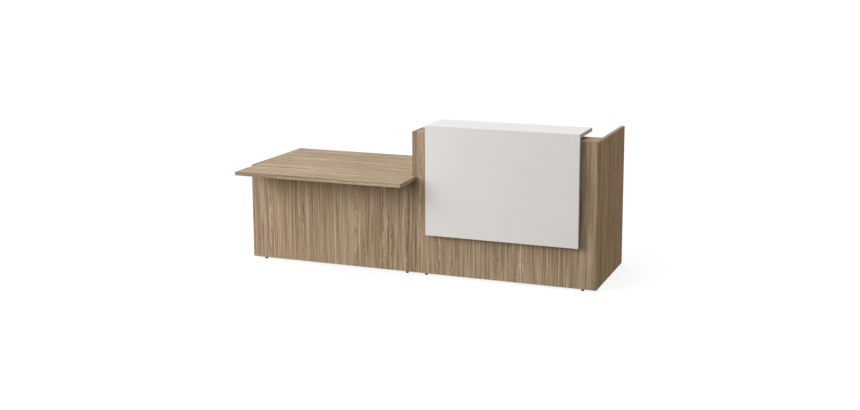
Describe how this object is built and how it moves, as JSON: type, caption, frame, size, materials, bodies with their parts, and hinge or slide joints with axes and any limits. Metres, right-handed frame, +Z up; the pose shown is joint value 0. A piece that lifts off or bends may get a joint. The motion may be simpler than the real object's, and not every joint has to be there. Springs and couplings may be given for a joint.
{
  "type": "reception desk",
  "caption": "Two-level reception desk: a low visitor worktop that overhangs its front, beside a tall section with a white folded counter held off the wood on stand-offs.",
  "frame": {"origin": "on the floor, under the middle of the desk's bounding box", "axes": "+X to the visitors' right along the desk, +Y from visitors to staff, +Z up"},
  "size_m": [2.75, 1.1, 1.133],
  "materials": {
    "wood_laminate": "satin grey-brown wood-grain laminate on board",
    "white_laminate": "smooth satin white laminate on board",
    "aluminium": "turned, satin",
    "zinc_steel": "zinc plated",
    "black_plastic": "moulded, matt"
  },
  "bodies": {
    "desk": {"left_gable": "wood_laminate", "middle_gable": "wood_laminate", "right_gable": "wood_laminate", "low_front_panel": "wood_laminate", "tall_front_panel": "wood_laminate", "low_worktop": "wood_laminate", "operator_worktop": "wood_laminate", "counter_ledge": "wood_laminate", "counter_front": "white_laminate", "counter_shelf": "white_laminate", "front_standoff_1": "aluminium", "front_standoff_2": "aluminium", "front_standoff_3": "aluminium", "front_standoff_4": "aluminium", "front_standoff_5": "aluminium", "front_standoff_6": "aluminium", "shelf_standoff_1": "aluminium", "shelf_standoff_2": "aluminium", "shelf_standoff_3": "aluminium", "front_screw_1": "zinc_steel", "front_screw_2": "zinc_steel", "front_screw_3": "zinc_steel", "front_screw_4": "zinc_steel", "front_screw_5": "zinc_steel", "front_screw_6": "zinc_steel", "shelf_screw_1": "zinc_steel", "shelf_screw_2": "zinc_steel", "shelf_screw_3": "zinc_steel", "low_bracket_left": "zinc_steel", "low_bracket_right": "zinc_steel", "low_bracket_front_1": "zinc_steel", "low_bracket_front_2": "zinc_steel", "operator_bracket_left": "zinc_steel", "operator_bracket_right": "zinc_steel", "operator_bracket_front_1": "zinc_steel", "operator_bracket_front_2": "zinc_steel", "foot_insert_low_left": "zinc_steel", "foot_insert_low_right": "zinc_steel", "foot_insert_tall_left": "zinc_steel", "foot_insert_tall_right": "zinc_steel", "foot_bracket_rear_left": "zinc_steel", "foot_bracket_rear_middle": "zinc_steel", "foot_bracket_rear_right": "zinc_steel", "grommet_sleeve": "black_plastic"},
    "pad_low_left": {"foot_pad_low_left": "black_plastic"},
    "stem_low_left": {"foot_stem_low_left": "zinc_steel"},
    "pad_low_right": {"foot_pad_low_right": "black_plastic"},
    "stem_low_right": {"foot_stem_low_right": "zinc_steel"},
    "pad_tall_left": {"foot_pad_tall_left": "black_plastic"},
    "stem_tall_left": {"foot_stem_tall_left": "zinc_steel"},
    "pad_tall_right": {"foot_pad_tall_right": "black_plastic"},
    "stem_tall_right": {"foot_stem_tall_right": "zinc_steel"},
    "pad_rear_left": {"foot_pad_rear_left": "black_plastic"},
    "stem_rear_left": {"foot_stem_rear_left": "zinc_steel"},
    "pad_rear_middle": {"foot_pad_rear_middle": "black_plastic"},
    "stem_rear_middle": {"foot_stem_rear_middle": "zinc_steel"},
    "pad_rear_right": {"foot_pad_rear_right": "black_plastic"},
    "stem_rear_right": {"foot_stem_rear_right": "zinc_steel"},
    "grommet_cap": {"grommet_cap": "black_plastic"}
  },
  "joints": [
    {"name": "foot_height_low_left", "type": "slide", "parent": "desk", "child": "pad_low_left", "axis": [0, 0, -1], "range_m": [0, 0.015]},
    {"name": "foot_turn_low_left", "type": "hinge", "parent": "pad_low_left", "child": "stem_low_left", "pos_m": [-1.272, -0.236, 0], "axis": [0, 0, -1], "range_deg": [0, 4321]},
    {"name": "foot_height_low_right", "type": "slide", "parent": "desk", "child": "pad_low_right", "axis": [0, 0, -1], "range_m": [0, 0.015]},
    {"name": "foot_turn_low_right", "type": "hinge", "parent": "pad_low_right", "child": "stem_low_right", "pos_m": [-0.079, -0.236, 0], "axis": [0, 0, -1], "range_deg": [0, 4321]},
    {"name": "foot_height_tall_left", "type": "slide", "parent": "desk", "child": "pad_tall_left", "axis": [0, 0, -1], "range_m": [0, 0.015]},
    {"name": "foot_turn_tall_left", "type": "hinge", "parent": "pad_tall_left", "child": "stem_tall_left", "pos_m": [0.076, -0.236, 0], "axis": [0, 0, -1], "range_deg": [0, 4321]},
    {"name": "foot_height_tall_right", "type": "slide", "parent": "desk", "child": "pad_tall_right", "axis": [0, 0, -1], "range_m": [0, 0.015]},
    {"name": "foot_turn_tall_right", "type": "hinge", "parent": "pad_tall_right", "child": "stem_tall_right", "pos_m": [1.272, -0.236, 0], "axis": [0, 0, -1], "range_deg": [0, 4321]},
    {"name": "foot_height_rear_left", "type": "slide", "parent": "desk", "child": "pad_rear_left", "axis": [0, 0, -1], "range_m": [0, 0.015]},
    {"name": "foot_turn_rear_left", "type": "hinge", "parent": "pad_rear_left", "child": "stem_rear_left", "pos_m": [-1.3207, 0.48, 0], "axis": [0, 0, -1], "range_deg": [0, 4321]},
    {"name": "foot_height_rear_middle", "type": "slide", "parent": "desk", "child": "pad_rear_middle", "axis": [0, 0, -1], "range_m": [0, 0.015]},
    {"name": "foot_turn_rear_middle", "type": "hinge", "parent": "pad_rear_middle", "child": "stem_rear_middle", "pos_m": [0.0273, 0.48, 0], "axis": [0, 0, -1], "range_deg": [0, 4321]},
    {"name": "foot_height_rear_right", "type": "slide", "parent": "desk", "child": "pad_rear_right", "axis": [0, 0, -1], "range_m": [0, 0.015]},
    {"name": "foot_turn_rear_right", "type": "hinge", "parent": "pad_rear_right", "child": "stem_rear_right", "pos_m": [1.3207, 0.48, 0], "axis": [0, 0, -1], "range_deg": [0, 4321]},
    {"name": "grommet_cap_turn", "type": "hinge", "parent": "desk", "child": "grommet_cap", "pos_m": [1.137, -0.102, 0.74], "axis": [0, 0, 1], "continuous": true}
  ],
  "couplings": [
    {"joint": "foot_turn_low_left", "follows": "foot_height_low_left", "rad_per_m": 5026.5},
    {"joint": "foot_turn_low_right", "follows": "foot_height_low_right", "rad_per_m": 5026.5},
    {"joint": "foot_turn_tall_left", "follows": "foot_height_tall_left", "rad_per_m": 5026.5},
    {"joint": "foot_turn_tall_right", "follows": "foot_height_tall_right", "rad_per_m": 5026.5},
    {"joint": "foot_turn_rear_left", "follows": "foot_height_rear_left", "rad_per_m": 5026.5},
    {"joint": "foot_turn_rear_middle", "follows": "foot_height_rear_middle", "rad_per_m": 5026.5},
    {"joint": "foot_turn_rear_right", "follows": "foot_height_rear_right", "rad_per_m": 5026.5}
  ]
}
